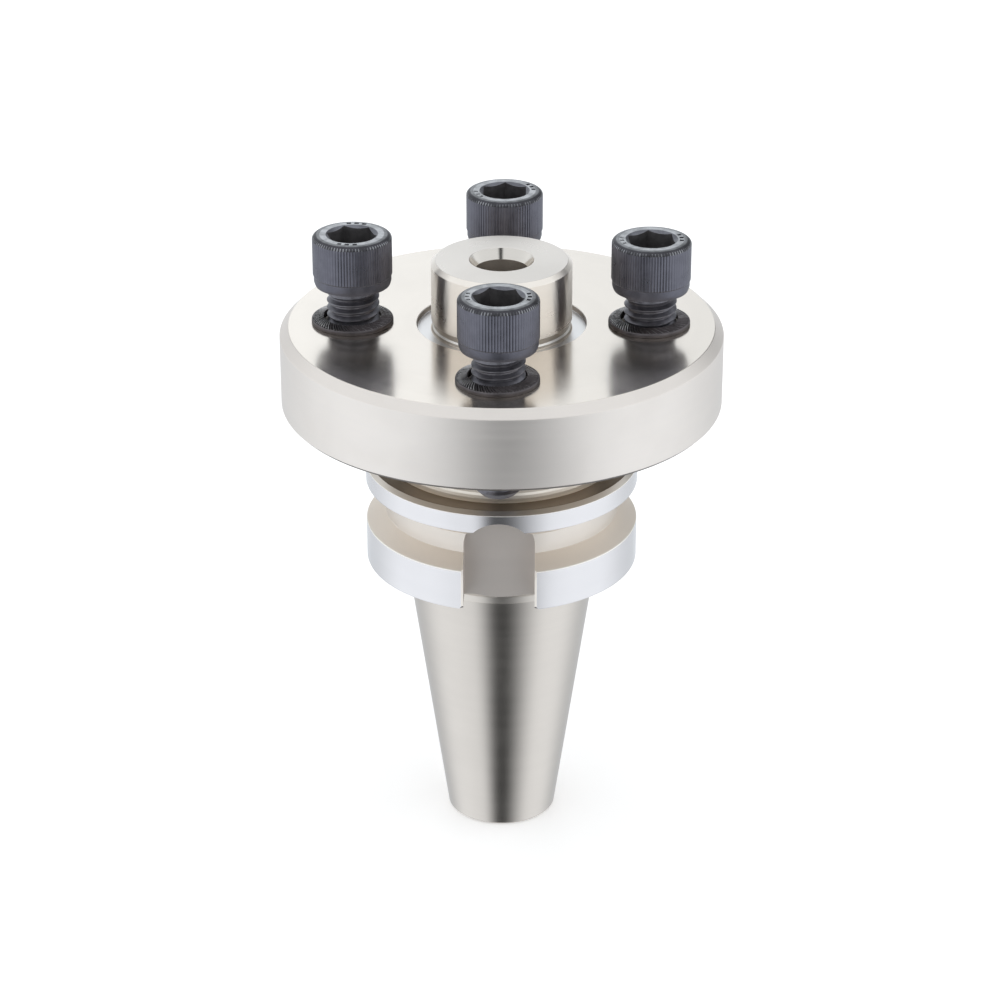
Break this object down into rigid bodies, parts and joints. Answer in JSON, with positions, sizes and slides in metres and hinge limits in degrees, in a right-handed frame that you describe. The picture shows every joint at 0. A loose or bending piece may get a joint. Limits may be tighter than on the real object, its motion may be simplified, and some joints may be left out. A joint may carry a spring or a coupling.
{
  "type": "boring head arbor",
  "caption": "Steep taper tool holder with a round face disk and centring pilot, which carries a boring head held by knurled socket cap screws with lock washers.",
  "frame": {"origin": "centre of the gauge circle, where the steep taper is 44.45 mm wide", "axes": "+Z along the axis from the taper towards the pilot; the drive slots face -Y and +Y"},
  "size_m": [0.101, 0.101, 0.1465],
  "materials": {
    "ground_steel": "fine ground",
    "black_oxide_steel": "black oxide, lightly oiled",
    "black_oxide_washer": "black oxide, hardened"
  },
  "bodies": {
    "arbor": {"arbor_body": "ground_steel", "lock_washer_front": "black_oxide_washer", "lock_washer_right": "black_oxide_washer", "lock_washer_back": "black_oxide_washer", "lock_washer_left": "black_oxide_washer"},
    "screw_front": {"cap_screw_front": "black_oxide_steel"},
    "screw_right": {"cap_screw_right": "black_oxide_steel"},
    "screw_back": {"cap_screw_back": "black_oxide_steel"},
    "screw_left": {"cap_screw_left": "black_oxide_steel"}
  },
  "joints": [
    {"name": "screw_travel_front", "type": "slide", "parent": "arbor", "child": "screw_front", "axis": [0, 0, 1], "range_m": [-0.00605, 0.015]},
    {"name": "screw_travel_right", "type": "slide", "parent": "arbor", "child": "screw_right", "axis": [0, 0, 1], "range_m": [-0.0067, 0.015]},
    {"name": "screw_travel_back", "type": "slide", "parent": "arbor", "child": "screw_back", "axis": [0, 0, 1], "range_m": [-0.0057, 0.015]},
    {"name": "screw_travel_left", "type": "slide", "parent": "arbor", "child": "screw_left", "axis": [0, 0, 1], "range_m": [-0.00735, 0.015]}
  ]
}
